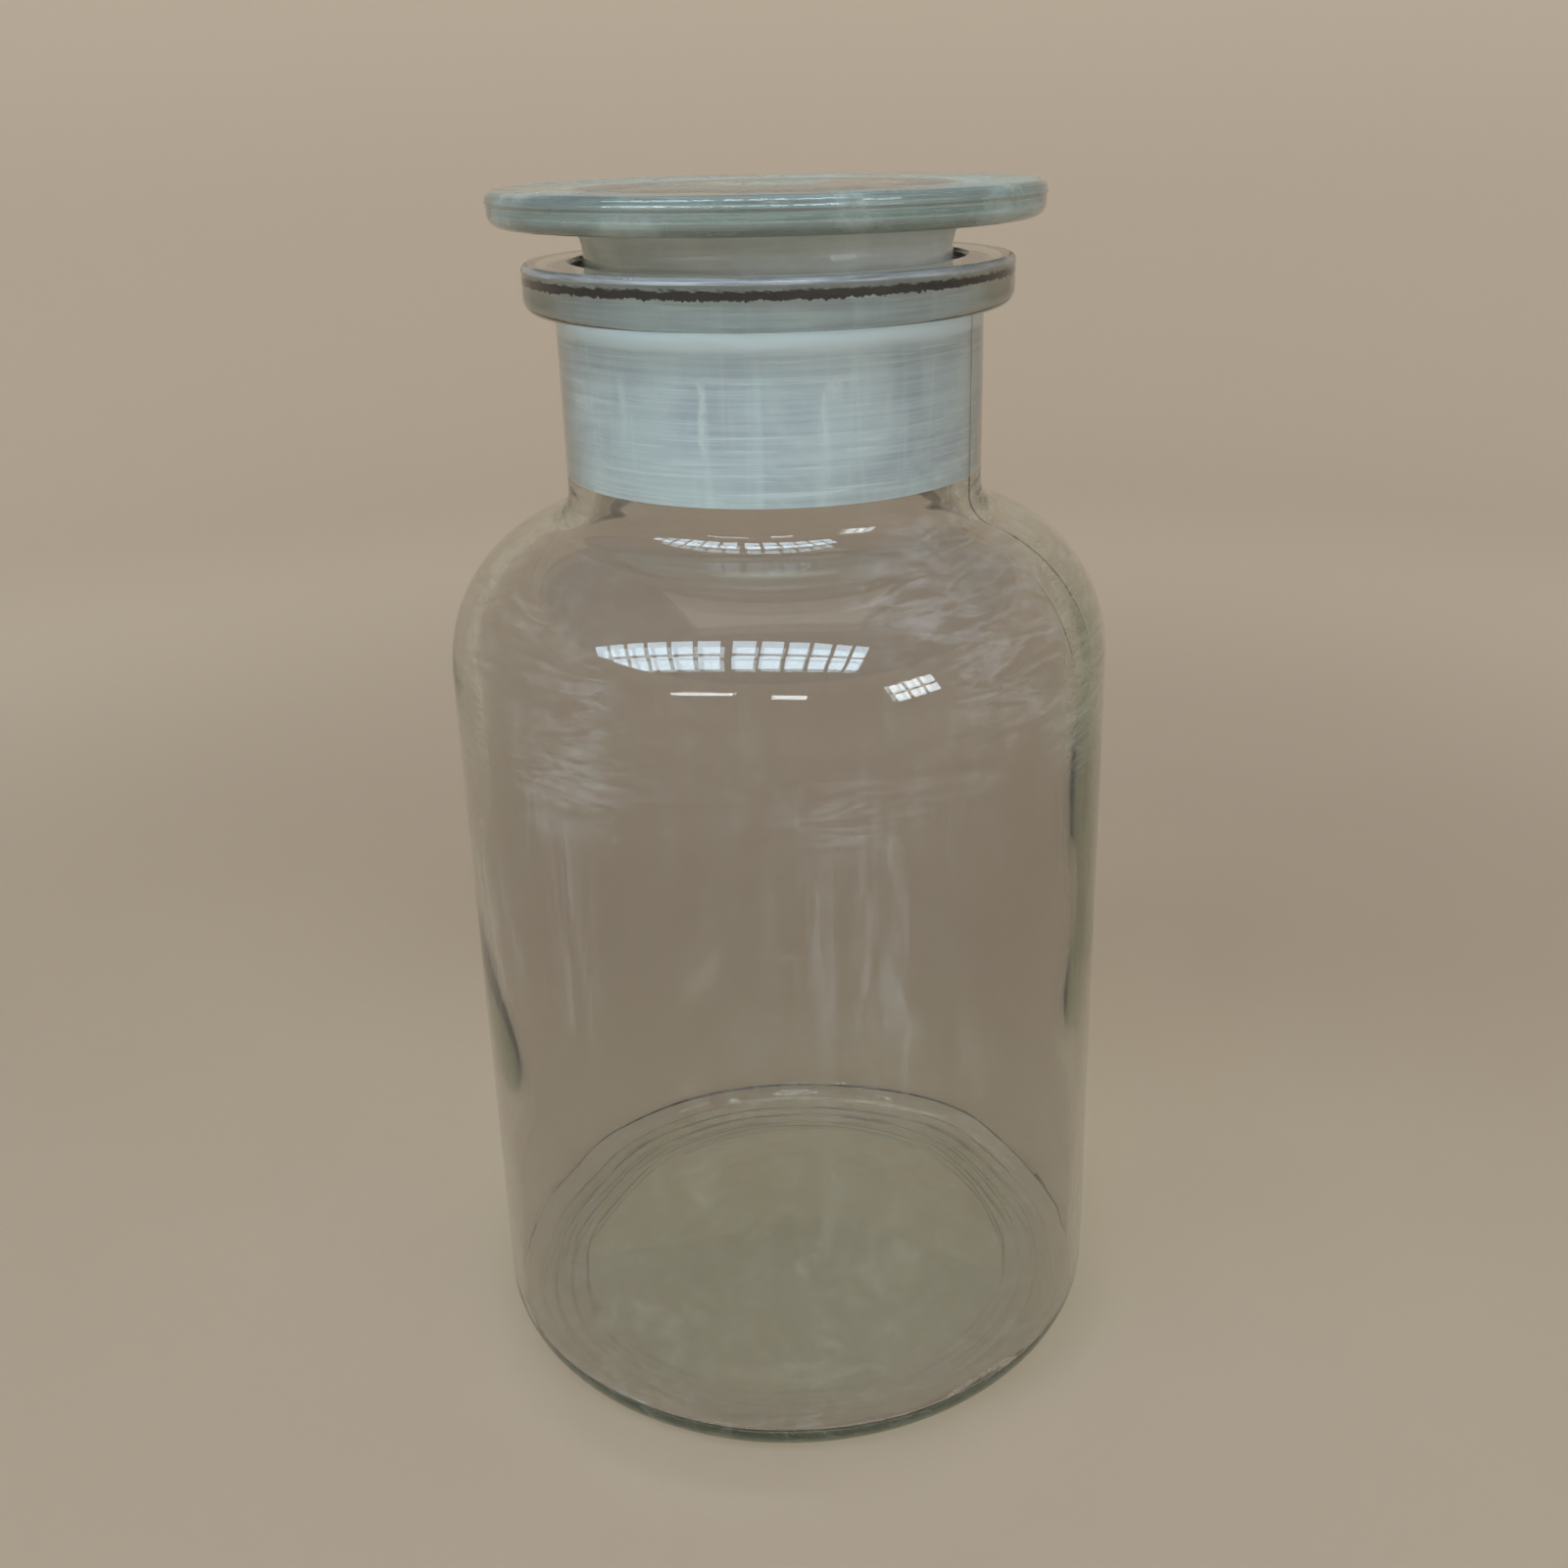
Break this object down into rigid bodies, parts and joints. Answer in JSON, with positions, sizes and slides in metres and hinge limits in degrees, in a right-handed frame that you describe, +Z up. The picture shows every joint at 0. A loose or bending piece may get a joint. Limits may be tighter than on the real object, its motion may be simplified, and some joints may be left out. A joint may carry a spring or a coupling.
{
  "type": "lidded glass canister",
  "caption": "Clear wide-mouth glass storage jar with round shoulders and a ground neck, closed by a flat-headed hollow ground-glass stopper that lifts out.",
  "frame": {"origin": "middle of the plane that the foot rests on, on the jar's axis", "axes": "+Z up along the jar's axis; +X and +Y are level, and the jar is round about +Z"},
  "size_m": [0.1382, 0.1382, 0.25],
  "materials": {
    "bottle_glass": "clear blown glass with a faint green cast; the inside of the neck is ground to a blue-grey frost",
    "stopper_glass": "clear pressed glass, blue-green through its edge; the plug's side is ground"
  },
  "bodies": {
    "bottle": {"bottle": "bottle_glass"},
    "stopper": {"stopper": "stopper_glass"}
  },
  "joints": [
    {"name": "stopper_lift", "type": "slide", "parent": "bottle", "child": "stopper", "axis": [0, 0, 1], "range_m": [0, 0.06]}
  ]
}
